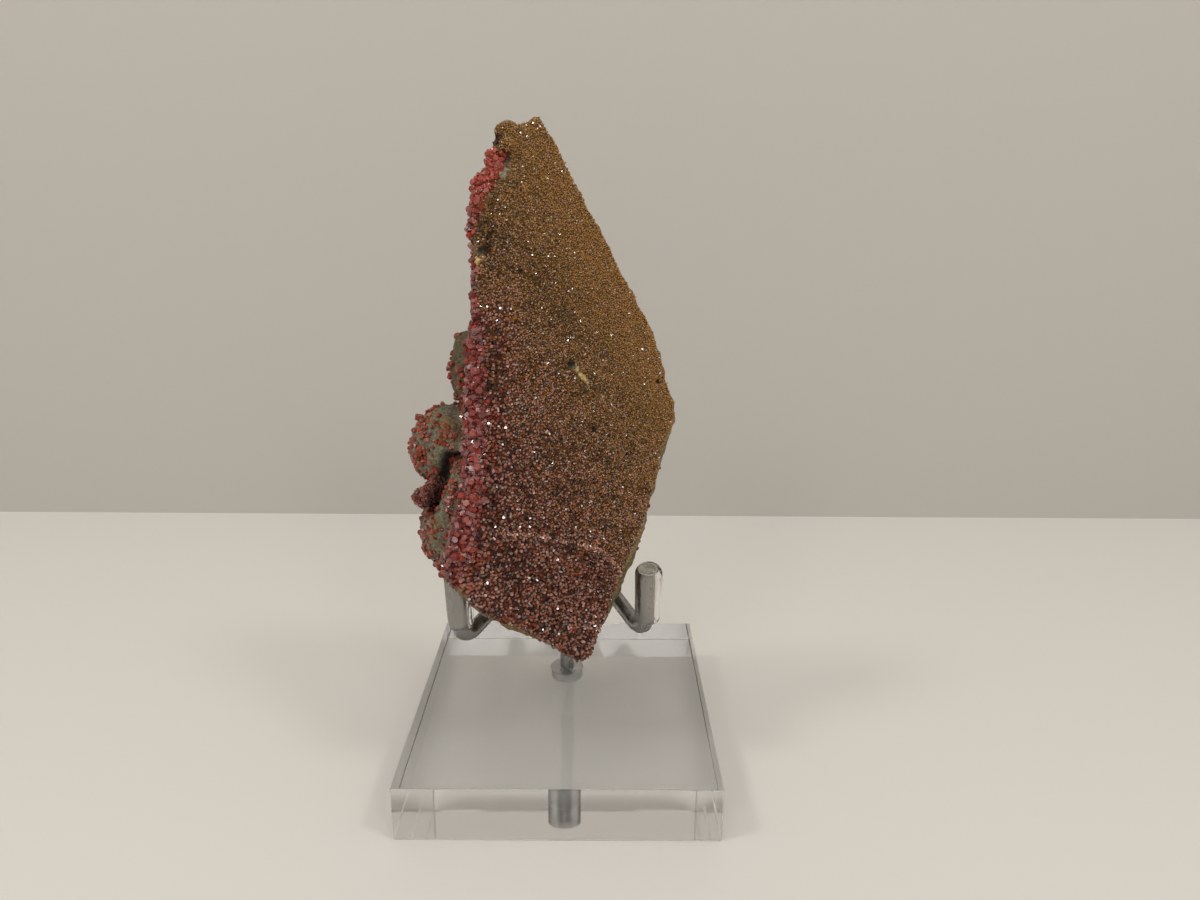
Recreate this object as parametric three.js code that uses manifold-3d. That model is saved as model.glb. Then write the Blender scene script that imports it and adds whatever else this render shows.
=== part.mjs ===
// Vanadinite on matrix, resting on a small display stand.
// Millimetres, +Z up, +X to the right and +Y away from the viewer.
// The origin is the middle of the base's underside.

import * as THREE from 'three';
import { mergeVertices } from 'three/addons/utils/BufferGeometryUtils.js';
import Module from 'manifold-3d';

// Clearance between touching pieces
const GAP = 0.3;

// Acrylic base, a stock 2 x 2 x 3/8 inch block
const INCH = 25.4;
const BASE_SIDE = 2 * INCH;
const BASE_THICKNESS = 0.375 * INCH;
const BASE_CHAMFER = 0.4;
const HOLE_DEPTH = 3.8;
const BEAD_RADIUS = 3.2;
const BEAD_HEIGHT = 0.6;
const BEAD_EDGE = 0.1;

// Steel wire of the post and the arms
const WIRE_RADIUS = 1.25;
const WIRE_SIDES = 12;
const POST = { x: 0.3, y: 8.7, top: 62 };
const FORK_HEIGHT = 37.2;
const BEND_RADIUS = 2.4;
const BEND_STEPS = 30;
const PRONG_LEAN = 0.1;
const ARMS = [
  { side: 'left', corner: new THREE.Vector3(-15.9, -11.8, 26.6), prong: 12.4 },
  { side: 'right', corner: new THREE.Vector3(13.9, -8.9, 26.2), prong: 12.4 },
];

// Clear vinyl caps over the wire ends
const CAP_RADIUS = 2.2;
const CAP_RIM_RADIUS = 2.05;
const CAP_LENGTH = 10.4;
const CAP_DOME = 1.0;
const CAP_END_WALL = 1.1;
const CAP_SIDES = 20;

// Front face of the stone, a plane that is turned in plan and leans back
const FACE = { y: -14.4, turn: 0.35, lean: 0.06 };

// Outline of the stone on that plane: height, then x of its left or right edge
const LEFT_EDGE = [
  [23.2, 2.6], [24.2, 1.8], [25.3, 0.4], [27.0, -2.2], [29.6, -5.6], [32.3, -10.3], [35.0, -13.2], [38.1, -15.1],
  [41.2, -17.0], [44.0, -16.2], [47.0, -15.5], [53.0, -13.9], [59.0, -12.9], [70.0, -12.2], [81.0, -11.2],
  [90.0, -11.3], [97.2, -10.6], [98.6, -8.9], [104.0, -8.7], [105.2, -7.6], [106.2, -5.6],
];
const RIGHT_EDGE = [
  [23.2, 3.6], [24.4, 5.7], [28.0, 6.9], [31.0, 8.9], [36.0, 10.4], [40.0, 12.5], [44.0, 14.2], [50.0, 15.6],
  [55.0, 16.8], [59.0, 17.2], [62.8, 18.6], [67.5, 16.4], [71.5, 15.3], [76.0, 14.1], [79.0, 12.5],
  [82.3, 10.5], [90.3, 6.3], [96.0, 2.7], [102.0, -0.2], [104.6, -1.6], [106.2, -2.4],
];

// Thickness behind the face, and how far the face stops short of the outline, by height
const THICKNESS = [
  [23.2, 1.5], [27.0, 4.5], [31.0, 8.5], [35.0, 12.0], [42.0, 15.0], [50.0, 16.8], [62.0, 16.6], [75.0, 14.5],
  [90.0, 10.5], [100.0, 6.5], [106.2, 3.0],
];
const RIGHT_BEVEL = [[24.0, 0.2], [30.0, 0.9], [45.0, 1.3], [58.0, 1.2], [63.0, 0.0]];
const LEFT_BEVEL = [[27.0, 0.0], [31.0, 1.0], [38.0, 1.6], [41.5, 0.8], [44.0, 0.0]];

// Corners of a level cut: share of the width from left to right, share of the thickness behind the face,
// and which bevel holds the corner back
const SECTION = [
  [0, 0, 'left'], [0.5, -0.03], [1, 0, 'right'], [1, 0.18], [0.9, 0.45], [0.68, 0.86],
  [0.42, 1], [0.12, 0.92], [-0.05, 0.55], [-0.02, 0.14],
];
const EDGE_STEPS = 3;
const STONE_LEVELS = 30;

// Lobes on the stone's left flank: centre and half sizes
const LOBES = [
  { centre: [-12.6, -5.6, 70.4], radii: [4.0, 5.4, 6.6] },
  { centre: [-16.4, -3.6, 56.7], radii: [7.3, 7.6, 7.3] },
  { centre: [-15.6, -3.4, 43.4], radii: [7.3, 8.2, 7.9] },
];
const LOBE_AROUND = 20;
const LOBE_LEVELS = 12;

// Unevenness of broken rock: depth, and the wavelength along each axis
const ROUGHNESS = 0.3;
const ROUGH_WAVE = { x: 4.3, y: 5.1, z: 6.7 };

// Crust of grown-together crystals along the stone's left front edge
const RIDGE = { low: 42, high: 97, points: 12, radius: 1.5, inset: 0.7, sides: 8, steps: 32 };
const RIDGE_CRYSTALS = 36;
// Crust in the cleft between the two lower lobes
const SEAM_PATH = [[-17.9, -11.0, 53.6], [-19.2, -10.0, 51.6], [-20.7, -7.8, 50.2], [-21.9, -4.8, 49.2]];
const SEAM = { radius: 1.0, sides: 8, steps: 10 };
const SEAM_CRYSTALS = 12;
const CRYSTAL = { smallest: 0.6, largest: 1.0, reach: 1.3 };

const UP = new THREE.Vector3(0, 0, 1);

const wasm = await Module();
wasm.setup();

function bare(geometry) {
  geometry.deleteAttribute('normal');
  geometry.deleteAttribute('uv');
  return mergeVertices(geometry, 1e-4);
}

function toSolid(geometry) {
  const clean = bare(geometry);
  const vertProperties = new Float32Array(clean.attributes.position.array);
  const triVerts = new Uint32Array(clean.index.array);
  return new wasm.Manifold(new wasm.Mesh({ numProp: 3, vertProperties, triVerts }));
}

function toGeometry(solid) {
  const mesh = solid.getMesh();
  const geometry = new THREE.BufferGeometry();
  geometry.setAttribute('position', new THREE.BufferAttribute(mesh.vertProperties, 3));
  geometry.setIndex(new THREE.BufferAttribute(mesh.triVerts, 1));
  return geometry;
}

function joined(solids) {
  return solids.reduce((whole, next) => whole.add(next));
}

// Straight lines between [height, value] points
function profile(points, height) {
  const last = points.length - 1;
  if (height <= points[0][0]) return points[0][1];
  if (height >= points[last][0]) return points[last][1];
  const after = points.findIndex(([level]) => level > height);
  const [low, from] = points[after - 1];
  const [high, to] = points[after];
  return from + ((height - low) / (high - low)) * (to - from);
}

// Repeatable random numbers from 0 to 1
function randomSource(seed) {
  let state = seed;
  return () => {
    state = (state * 1664525 + 1013904223) % 4294967296;
    return state / 4294967296;
  };
}

function rodOutline(radius, sides) {
  const outline = new THREE.Shape();
  for (let i = 0; i < sides; i += 1) {
    const angle = (i / sides) * 2 * Math.PI;
    const point = [radius * Math.cos(angle), radius * Math.sin(angle)];
    if (i === 0) outline.moveTo(...point);
    else outline.lineTo(...point);
  }
  outline.closePath();
  return outline;
}

function tube(path, radius, sides, steps) {
  const settings = { extrudePath: path, steps, bevelEnabled: false };
  return new THREE.ExtrudeGeometry(rodOutline(radius, sides), settings);
}

// A shape turned round the +Z axis from [radius, height] points that start and end on the axis
function turned(points, sides) {
  const outline = points.map(([radius, height]) => new THREE.Vector2(radius, height));
  const geometry = new THREE.LatheGeometry(outline, sides);
  geometry.rotateX(Math.PI / 2);
  return geometry;
}

function rod(radius, low, high, sides) {
  const points = [[0, low], [radius, low], [radius, high], [0, high]];
  return turned(points, sides).translate(POST.x, POST.y, 0);
}

// Base with its blind hole and the cement bead round the post
function baseGeometry() {
  const half = BASE_SIDE / 2 - BASE_CHAMFER;
  const square = new THREE.Shape();
  square.moveTo(-half, -half);
  square.lineTo(half, -half);
  square.lineTo(half, half);
  square.lineTo(-half, half);
  square.closePath();
  const block = new THREE.ExtrudeGeometry(square, {
    depth: BASE_THICKNESS - 2 * BASE_CHAMFER,
    bevelThickness: BASE_CHAMFER,
    bevelSize: BASE_CHAMFER,
    bevelSegments: 1,
  });
  block.translate(0, 0, BASE_CHAMFER);
  const beadFoot = BASE_THICKNESS - GAP;
  const beadTop = BASE_THICKNESS + BEAD_HEIGHT;
  const bead = turned([[0, beadFoot], [BEAD_RADIUS, beadFoot], [BEAD_RADIUS, BASE_THICKNESS + BEAD_EDGE],
    [WIRE_RADIUS + 2 * GAP, beadTop], [0, beadTop]], CAP_SIDES);
  bead.translate(POST.x, POST.y, 0);
  const hole = rod(WIRE_RADIUS + GAP, BASE_THICKNESS - HOLE_DEPTH, beadTop + GAP, CAP_SIDES);
  return toGeometry(toSolid(block).add(toSolid(bead)).subtract(toSolid(hole)));
}

function postGeometry(growth) {
  return rod(WIRE_RADIUS + growth, BASE_THICKNESS - HOLE_DEPTH + GAP, POST.top, WIRE_SIDES);
}

// Direction of the prongs, a little towards the viewer
function prongDirection() {
  return new THREE.Vector3(0, -PRONG_LEAN, 1).normalize();
}

// Centre line of an arm: from the post down to the round bend, then up the prong
function armPath(arm) {
  const fork = new THREE.Vector3(POST.x, POST.y, FORK_HEIGHT);
  const along = arm.corner.clone().sub(fork).normalize();
  const plan = Math.hypot(along.x, along.y);
  const start = fork.clone().addScaledVector(along, (2 * WIRE_RADIUS + GAP) / plan);
  const up = prongDirection();
  const halfTurn = along.angleTo(up) / 2;
  const reach = BEND_RADIUS * Math.tan(halfTurn);
  const bendStart = arm.corner.clone().addScaledVector(along, -reach);
  const bendEnd = arm.corner.clone().addScaledVector(up, reach);
  const inward = up.clone().sub(along).normalize();
  const centre = arm.corner.clone().addScaledVector(inward, BEND_RADIUS / Math.cos(halfTurn));
  const path = new THREE.CurvePath();
  path.add(new THREE.LineCurve3(start, bendStart));
  path.add(new BendCurve(centre, bendStart, bendEnd));
  path.add(new THREE.LineCurve3(bendEnd, prongEnd(arm)));
  return path;
}

// A circular arc between two points at one distance from its centre
class BendCurve extends THREE.Curve {
  constructor(centre, from, to) {
    super();
    this.centre = centre;
    this.spoke = from.clone().sub(centre);
    this.turn = new THREE.Quaternion().setFromUnitVectors(
      this.spoke.clone().normalize(),
      to.clone().sub(centre).normalize(),
    );
  }

  getPoint(t, target = new THREE.Vector3()) {
    const part = new THREE.Quaternion().slerp(this.turn, t);
    return target.copy(this.spoke).applyQuaternion(part).add(this.centre);
  }
}

function prongEnd(arm) {
  return arm.corner.clone().addScaledVector(prongDirection(), arm.prong);
}

function armGeometry(arm, growth) {
  return tube(armPath(arm), WIRE_RADIUS + growth, WIRE_SIDES, BEND_STEPS);
}

// A domed sleeve whose origin is the end of the wire in it. Grown, it is solid, to cut a space for it.
function capGeometry(growth) {
  const top = GAP + CAP_END_WALL + growth;
  const rim = top - CAP_LENGTH - growth;
  const outer = CAP_RADIUS + growth;
  const dome = [];
  for (let i = 1; i <= 3; i += 1) {
    const angle = (i / 4) * (Math.PI / 2);
    dome.push([outer - CAP_DOME * (1 - Math.cos(angle)), top - CAP_DOME * (1 - Math.sin(angle))]);
  }
  const wall = [[CAP_RIM_RADIUS + growth, rim], [outer, top - CAP_DOME]];
  const outside = [...wall, ...dome, [outer - CAP_DOME, top], [0, top]];
  if (growth > 0) return turned([[0, rim], ...outside], CAP_SIDES);
  const bore = WIRE_RADIUS + GAP;
  return turned([[0, GAP], [bore, GAP], [bore, rim], ...outside], CAP_SIDES);
}

function capPlaces() {
  const places = ARMS.map((arm) => ({
    name: `cap_${arm.side}`,
    end: prongEnd(arm),
    axis: prongDirection(),
  }));
  places.push({ name: 'cap_back', end: new THREE.Vector3(POST.x, POST.y, POST.top), axis: UP });
  return places;
}

function rough(point, depth) {
  const wave = Math.sin(point.x / ROUGH_WAVE.x + 2 * Math.sin(point.z / ROUGH_WAVE.z))
    + Math.sin(point.y / ROUGH_WAVE.y + point.z / ROUGH_WAVE.x)
    + Math.sin((point.x + point.y + point.z) / ROUGH_WAVE.y);
  return (depth * wave) / 3;
}

// Moves every vertex out along its normal, by the roughness and a growth
function roughened(geometry, growth) {
  const clean = bare(geometry);
  clean.computeVertexNormals();
  const point = new THREE.Vector3();
  const normal = new THREE.Vector3();
  const { position } = clean.attributes;
  for (let i = 0; i < position.count; i += 1) {
    point.fromBufferAttribute(position, i);
    normal.fromBufferAttribute(clean.attributes.normal, i);
    point.addScaledVector(normal, growth + rough(point, ROUGHNESS));
    position.setXYZ(i, point.x, point.y, point.z);
  }
  return clean;
}

function faceDepth(x, z) {
  return FACE.y + FACE.turn * x + FACE.lean * z;
}

// A point on the stone at a share of the way around its level cut
function stonePoint(around, z) {
  const place = around * SECTION.length;
  const from = Math.floor(place) % SECTION.length;
  const share = place - Math.floor(place);
  const a = sectionCorner(SECTION[from], z);
  const b = sectionCorner(SECTION[(from + 1) % SECTION.length], z);
  return a.lerp(b, share);
}

function sectionCorner([acrossShare, depthShare, bevelSide], z) {
  const left = profile(LEFT_EDGE, z);
  const right = profile(RIGHT_EDGE, z);
  let x = left + acrossShare * (right - left);
  if (bevelSide === 'left') x += profile(LEFT_BEVEL, z);
  if (bevelSide === 'right') x -= profile(RIGHT_BEVEL, z);
  return new THREE.Vector3(x, faceDepth(x, z) + depthShare * profile(THICKNESS, z), z);
}

// The stone's body: a ball's grid of vertices laid on the level cuts
function stoneBody(growth) {
  const around = SECTION.length * EDGE_STEPS;
  const ball = new THREE.SphereGeometry(1, around, STONE_LEVELS);
  const low = LEFT_EDGE[0][0];
  const high = LEFT_EDGE[LEFT_EDGE.length - 1][0];
  const { position, uv } = ball.attributes;
  for (let i = 0; i < position.count; i += 1) {
    const level = uv.getY(i);
    const eased = (1 - Math.cos(Math.PI * level)) / 2;
    const z = low + (high - low) * (level + eased) / 2;
    const pole = level < 1e-6 || level > 1 - 1e-6;
    const turn = Math.round(uv.getX(i) * around) / around;
    const point = pole ? polePoint(z) : stonePoint(turn, z);
    position.setXYZ(i, point.x, point.y, point.z);
  }
  return roughened(ball, growth);
}

function polePoint(z) {
  const x = (profile(LEFT_EDGE, z) + profile(RIGHT_EDGE, z)) / 2;
  return new THREE.Vector3(x, faceDepth(x, z) + profile(THICKNESS, z) / 2, z);
}

function lobeGeometry(lobe, growth) {
  const ball = new THREE.SphereGeometry(1, LOBE_AROUND, LOBE_LEVELS);
  ball.rotateX(Math.PI / 2);
  ball.scale(...lobe.radii);
  ball.translate(...lobe.centre);
  return roughened(ball, growth);
}

// The whole stone, grown outwards by a clearance
function stoneSolid(growth) {
  const lobes = LOBES.map((lobe) => toSolid(lobeGeometry(lobe, growth)));
  return joined([toSolid(stoneBody(growth)), ...lobes]);
}

function ridgePath() {
  const points = [];
  for (let i = 0; i < RIDGE.points; i += 1) {
    const z = RIDGE.low + (i / (RIDGE.points - 1)) * (RIDGE.high - RIDGE.low);
    const x = profile(LEFT_EDGE, z) + RIDGE.inset;
    points.push(new THREE.Vector3(x, faceDepth(x, z), z));
  }
  return new THREE.CatmullRomCurve3(points);
}

function seamPath() {
  return new THREE.CatmullRomCurve3(SEAM_PATH.map((point) => new THREE.Vector3(...point)));
}

// Six-sided prisms that stand out of a path, spread around an outward direction
function crystalPrisms(path, count, outward, seed) {
  const random = randomSource(seed);
  const prisms = [];
  for (let i = 0; i < count; i += 1) {
    const size = CRYSTAL.smallest + random() * (CRYSTAL.largest - CRYSTAL.smallest);
    const direction = outward.clone();
    direction.x += random() - 0.5;
    direction.y += random() - 0.5;
    direction.z += random() - 0.5;
    const prism = new THREE.CylinderGeometry(size, size, CRYSTAL.reach + size, 6);
    prism.rotateX(Math.PI / 2);
    prism.translate(0, 0, (CRYSTAL.reach + size) / 2);
    prism.applyQuaternion(new THREE.Quaternion().setFromUnitVectors(UP, direction.normalize()));
    const foot = path.getPointAt((i + random()) / count);
    prisms.push(toSolid(prism.translate(foot.x, foot.y, foot.z)));
  }
  return prisms;
}

// A core that lies in a groove of the stone, and crystals that stand clear of the stone
function crustSolid(path, shape, prisms) {
  const core = toSolid(tube(path, shape.radius, shape.sides, shape.steps));
  return core.add(joined(prisms).subtract(stoneSolid(GAP)));
}

function grooveSolid(path, shape) {
  return toSolid(tube(path, shape.radius + GAP, shape.sides, shape.steps));
}

// The stone, cut clear of the crusts and of what it rests on
function matrixGeometry() {
  const grooves = [grooveSolid(ridgePath(), RIDGE), grooveSolid(seamPath(), SEAM)];
  const wires = [toSolid(postGeometry(GAP)), ...ARMS.map((arm) => toSolid(armGeometry(arm, GAP)))];
  const caps = capPlaces().map(({ end, axis }) => toSolid(placed(capGeometry(GAP), end, axis)));
  return toGeometry(stoneSolid(0).subtract(joined([...grooves, ...wires, ...caps])));
}

function placed(geometry, end, axis) {
  geometry.applyQuaternion(new THREE.Quaternion().setFromUnitVectors(UP, axis));
  return geometry.translate(end.x, end.y, end.z);
}

const clear = { transparent: true, opacity: 0.35 };
const acrylic = new THREE.MeshStandardMaterial({ color: 0xe4e6e4, roughness: 0.05, ...clear });
const vinyl = new THREE.MeshStandardMaterial({ color: 0xdedcd6, roughness: 0.2, ...clear });
const steel = new THREE.MeshStandardMaterial({ color: 0x8b8a86, roughness: 0.35, metalness: 1 });
const rock = new THREE.MeshStandardMaterial({ color: 0x6b5434, roughness: 0.85 });
const vanadinite = new THREE.MeshStandardMaterial({ color: 0x8e2e2c, roughness: 0.25 });

const model = new THREE.Group();

function addPart(name, geometry, material) {
  const mesh = new THREE.Mesh(geometry, material);
  mesh.name = name;
  model.add(mesh);
  return mesh;
}

addPart('stand_base', baseGeometry(), acrylic);
addPart('post', bare(postGeometry(0)), steel);
for (const arm of ARMS) {
  addPart(`arm_${arm.side}`, bare(armGeometry(arm, 0)), steel);
}
for (const { name, end, axis } of capPlaces()) {
  const cap = addPart(name, bare(capGeometry(0)), vinyl);
  cap.quaternion.setFromUnitVectors(UP, axis);
  cap.position.copy(end);
}
addPart('matrix', matrixGeometry(), rock);

const leftForward = new THREE.Vector3(-0.75, -0.66, 0);
const ridgePrisms = crystalPrisms(ridgePath(), RIDGE_CRYSTALS, leftForward, 4);
addPart('vanadinite_ridge', toGeometry(crustSolid(ridgePath(), RIDGE, ridgePrisms)), vanadinite);
const seamPrisms = crystalPrisms(seamPath(), SEAM_CRYSTALS, leftForward, 11);
addPart('vanadinite_seam', toGeometry(crustSolid(seamPath(), SEAM, seamPrisms)), vanadinite);

export default model;
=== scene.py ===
"""Looks of a vanadinite specimen resting on its display stand.

Lengths are in millimetres until a mesh is made, where they become metres.
"""

import math

import bpy
import numpy as np
from mathutils import Matrix, Vector, noise


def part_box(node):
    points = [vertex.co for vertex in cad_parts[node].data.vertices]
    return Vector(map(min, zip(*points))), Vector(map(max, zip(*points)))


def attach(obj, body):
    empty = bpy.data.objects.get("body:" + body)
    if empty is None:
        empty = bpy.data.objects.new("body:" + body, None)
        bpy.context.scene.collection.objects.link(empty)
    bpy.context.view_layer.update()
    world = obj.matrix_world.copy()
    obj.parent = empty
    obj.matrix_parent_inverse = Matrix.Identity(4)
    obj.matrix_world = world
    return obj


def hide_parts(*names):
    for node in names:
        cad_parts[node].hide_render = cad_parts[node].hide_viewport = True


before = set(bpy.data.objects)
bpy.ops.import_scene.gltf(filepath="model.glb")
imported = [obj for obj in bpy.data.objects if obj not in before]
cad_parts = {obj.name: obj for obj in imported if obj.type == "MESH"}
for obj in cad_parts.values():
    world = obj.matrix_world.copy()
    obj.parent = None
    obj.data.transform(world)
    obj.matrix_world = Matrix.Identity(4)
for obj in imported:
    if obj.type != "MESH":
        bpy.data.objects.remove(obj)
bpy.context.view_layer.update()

MM = 0.001
rng = np.random.default_rng(20)

# Camera of the photograph, solved from the square base
CAMERA_PLACE = (5.738, -130.146, 96.416)
CAMERA_YAW = math.radians(0.222)
CAMERA_PITCH = math.radians(17.465)
CAMERA_ROLL = math.radians(0.430)
SENSOR_WIDTH = 36.0
CAMERA_LENS = 24.957

# The table ends at a wall behind the object. Both reach far to the sides, and the wall as far up
WALL_DISTANCE = 109.0
WALL_REACH = 900.0
TABLE_REACH = 6000.0
# Air under the base, so that the table is seen through it by refraction
TABLE_GAP = 0.04

# Plane of the stone's front face: y = FACE_Y + FACE_TURN * x + FACE_LEAN * z
FACE_Y = -14.4
FACE_TURN = 0.35
FACE_LEAN = 0.06
FACE_NORMAL = np.array([FACE_TURN, -1.0, FACE_LEAN]) / math.hypot(FACE_TURN, 1.0, FACE_LEAN)

# Left front edge of the stone, where the red ridge grows: height and x
RIDGE_LINE = np.array([
    (41.5, -16.3), (47.0, -14.8), (53.0, -13.2), (59.0, -12.2), (70.0, -11.5), (81.0, -10.5), (90.0, -10.7),
    (96.0, -10.2), (99.0, -8.9), (101.0, -7.9),
])

# A ledge across the face, below which the druse is coarser and redder: x and height
LEDGE_LINE = np.array([
    (-10.9, 48.2), (-8.7, 47.4), (-2.1, 45.7), (2.4, 44.2), (6.3, 42.3), (8.2, 40.3), (12.0, 35.0),
])
LEDGE_STEP = 0.7

# Inner borders of the bare olive rims of the face: height and x on the right, x and height on the lower left
RIGHT_RIM = np.array([
    (23.0, 4.2), (25.8, 5.1), (29.1, 6.4), (34.9, 8.3), (39.7, 10.3), (44.4, 12.7), (49.2, 14.5),
    (54.0, 15.9), (58.0, 17.5), (60.0, 30.0),
])
LOWER_RIM = np.array([
    (-18.0, 42.0), (-16.8, 40.9), (-14.7, 38.6), (-12.6, 36.1), (-10.5, 34.0), (-5.6, 31.0), (-2.2, 28.0),
    (0.4, 25.9), (1.8, 24.6), (3.0, 22.0),
])

# How far the red crystals reach over the face from the ridge line: height and reach
RIDGE_REACH = np.array([
    (41.0, 2.6), (45.0, 2.9), (52.0, 1.9), (60.0, 1.3), (67.0, 1.4), (72.0, 1.0), (78.0, 0.1), (82.0, -0.8),
    (90.0, -0.8), (93.0, -0.1), (95.0, 0.4), (97.0, 1.2), (99.0, 1.4), (101.0, 0.6),
])
# Bare groove that parts the ridge in two strands near its lower end: height and x
RIDGE_GROOVE = np.array([(42.0, -15.0), (46.0, -14.5), (50.0, -14.0), (54.0, -12.9)])
# The swelling under the ridge: height and radius, and how far its front stands proud of the face
RIDGE_SWELL = np.array([(42.5, 1.5), (50.0, 1.9), (70.0, 1.9), (76.0, 1.4), (80.0, 1.0), (96.5, 1.0)])
RIDGE_PROUD = 0.45

# The cleft between the two lower lobes, and the radius of the crust that fills it
SEAM_LINE = np.array([(-17.8, -10.8, 53.6), (-19.1, -9.8, 51.6), (-20.6, -7.6, 50.2), (-21.7, -4.8, 49.2)])
SEAM_SWELL = 1.1

# Upper part of the lower lobe, beside the ridge: x, y, height and radius
LOBE_SHOULDER = np.array([
    (-14.0, -12.6, 56.6, 1.5), (-15.2, -12.0, 53.6, 2.5), (-16.5, -11.3, 50.2, 3.2),
    (-17.2, -10.7, 46.8, 3.4), (-17.0, -10.6, 44.6, 2.7),
])
# Cleft between that shoulder and the middle lobe, on the side towards the front, darkened with painted shade:
# x and height
CLEFT_LINE = np.array([(-14.0, 57.8), (-16.8, 57.2), (-17.8, 54.2), (-18.7, 52.2), (-20.1, 49.2)])
CLEFT_DEPTH = 1.9
# The middle lobe is blunt in front: its centre, the way its blunt side faces and how far out that side lies
BLUNT_CENTRE = np.array([-16.5, -3.6, 56.6])
BLUNT_FACING = np.array([-0.30, -0.94, 0.12])
BLUNT_REACH = 5.9

# Broken top of the stone: x and height
TOP_LINE = np.array([
    (-9.5, 103.6), (-8.2, 104.9), (-6.6, 105.1), (-5.4, 104.4), (-4.2, 104.7), (-3.3, 105.75), (-1.5, 105.8),
])
PEAK_X = -2.7
PEAK_RISE = 0.9

# Where the druse turns from fine and golden to coarse and red: a point on the border and its direction
DRUSE_BORDER = (-10.5, 95.0)
DRUSE_TOWARDS_RED = (-0.88, -0.478)

# Pits in the face, with painted shade in them: x, height, radius
FACE_PITS = [(-10.4, 88.2, 0.75), (1.8, 71.7, 0.8), (15.1, 68.2, 0.5), (5.3, 61.6, 0.45), (10.4, 57.0, 0.45)]
# Hollows at the notch beside the top, with red crystals around them and painted shade in them
NOTCH_PITS = [(-8.3, 102.6, 0.95), (-7.1, 100.4, 1.1)]
PIT_DEPTH = 1.1
# Darker streak down the upper part of the face: x and height
STREAK_LINE = np.array([(-10.9, 91.0), (-7.0, 88.7), (-3.1, 85.8), (-0.9, 82.3), (0.9, 79.0)])
# Bare patches in the druse: x, height, radius. A pale sliver is a row of them along a short line
PALE_SLIVER = [(2.8 + 1.5 * t, 70.8 - 1.9 * t, 0.38) for t in (0.0, 0.3, 0.5, 0.75, 1.0)]
PALE_PATCHES = PALE_SLIVER + [(-10.9, 86.9, 0.5)]
GREEN_PATCHES = [(-7.3, 98.5, 0.95), (-10.6, 95.6, 0.7)]

# Places tried for the crystals of each kind, of which the ones clear of others are kept
DRUSE_PLACES = 190000
RIDGE_PLACES = 14000
FLANK_PLACES = 4000
SEAM_PLACES = 2500
# Chips struck off the stone
CHIPS = 110
# Edge of the even small faces of the stone and of the seam's core
STONE_FACE = 0.36
CRUST_FACE = 0.3
# Pieces of the druse and the height each reaches down to
DRUSE_CUTS = {"druse_top": 78.0, "druse_upper": 60.0, "druse_middle": 44.0, "druse_lower": 0.0}

# Linear colours of the stone and its crystals
GOLD_BROWN = np.array([0.275, 0.139, 0.036])
RED_BROWN = np.array([0.160, 0.045, 0.022])
# Tan pink, also used for painted highlights on the druse
TAN_PINK = np.array([0.300, 0.150, 0.105])
GREY_GREEN = np.array([0.165, 0.150, 0.100])
OLIVE = np.array([0.185, 0.125, 0.045])
# Dark rock patches, and painted shade in the cleft and under the ledge
DARK_PATCH_AND_SHADE = np.array([0.030, 0.014, 0.010])
PALE_YELLOW = np.array([0.620, 0.460, 0.180])
# Painted shade in the pits
BLUE_BLACK = np.array([0.022, 0.024, 0.030])
CRYSTAL_RED = np.array([0.230, 0.024, 0.019])
CRYSTAL_ORANGE = np.array([0.330, 0.046, 0.018])
CRYSTAL_DARK = np.array([0.090, 0.013, 0.012])
# Pink that partly stands in for a painted sheen on the crystals
CRYSTAL_PINK = np.array([0.350, 0.132, 0.118])
CRYSTAL_ROSE = np.array([0.256, 0.062, 0.052])
TERRACOTTA = np.array([0.290, 0.055, 0.025])

# Base: its thickness as a share of its width, the hole for the post, and the bead of cement around the post
BASE_RATIO = 0.1875
BASE_BEVEL = 0.15
HOLE_DEPTH = 3.8
HOLE_RADIUS = 2.9
BEAD_RADIUS = 3.1
BEAD_HEIGHT = 0.25
# How far the cement reaches into the block, so that no air parts them
CEMENT_REACH = 0.03

# Wires: the post, the arms that leave it at the fork, and the outer corners of their bends
WIRE_RADIUS = 1.25
POST_X = 0.3
POST_Y = 8.7
POST_TOP = 62.0
FORK_HEIGHT = 37.2
BEND_RADIUS = 2.4
PRONG_LEAN = 0.1
PRONG_LENGTH = 12.4
ARM_CORNERS = {"left": (-15.9, -11.8, 26.6), "right": (13.9, -8.9, 26.2)}
# Lump of solder at the fork: half its height and its radius
SOLDER_REACH = 2.1
SOLDER_RADIUS = 1.75

# Caps: how thick the domed end is over the wire's end, and how far the end's rounding reaches in and down
CAP_RADIUS = 2.2
CAP_LENGTH = 10.4
CAP_BORE = 1.3
CAP_END = 1.35
CAP_DOME = (2.0, 1.75)
# How far each cap sits off the wire's middle, so that it touches the wire on the left
CAP_SHIFT = 0.2

# Lamps overhead, whose glints show on the crystals, and a long one in front: place, width, height and power
LAMPS = [
    ((-360.0, -160.0, 560.0), 110.0, 110.0, 0.7),
    ((330.0, -220.0, 580.0), 110.0, 110.0, 0.65),
    ((0.0, -560.0, 330.0), 900.0, 100.0, 0.6),
    ((-240.0, -460.0, 430.0), 100.0, 100.0, 0.25),
    ((260.0, -480.0, 430.0), 100.0, 100.0, 0.25),
    ((-60.0, -380.0, 560.0), 100.0, 100.0, 0.25),
]
LAMP_TARGET = (0.0, 0.0, 50.0)
LAMP_COLOUR = (1.0, 0.98, 0.95)


def smooth_step(low, high, value):
    share = np.clip((value - low) / (high - low), 0.0, 1.0)
    return share * share * (3.0 - 2.0 * share)


def bell(value, width):
    """1 at 0, falling off smoothly on both sides."""
    return np.exp(-((value / width) ** 2))


def mix(a, b, share):
    share = np.asarray(share)[..., None]
    return a * (1.0 - share) + b * share


def unit(vectors):
    return vectors / np.linalg.norm(vectors, axis=-1, keepdims=True)


def fractal(points, size, octaves, shift):
    """Smooth noise from about -1 to 1 with features of that size."""
    moved = points / size + shift
    return np.array([noise.fractal(Vector(p), 1.0, 2.0, octaves) for p in moved])


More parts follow.
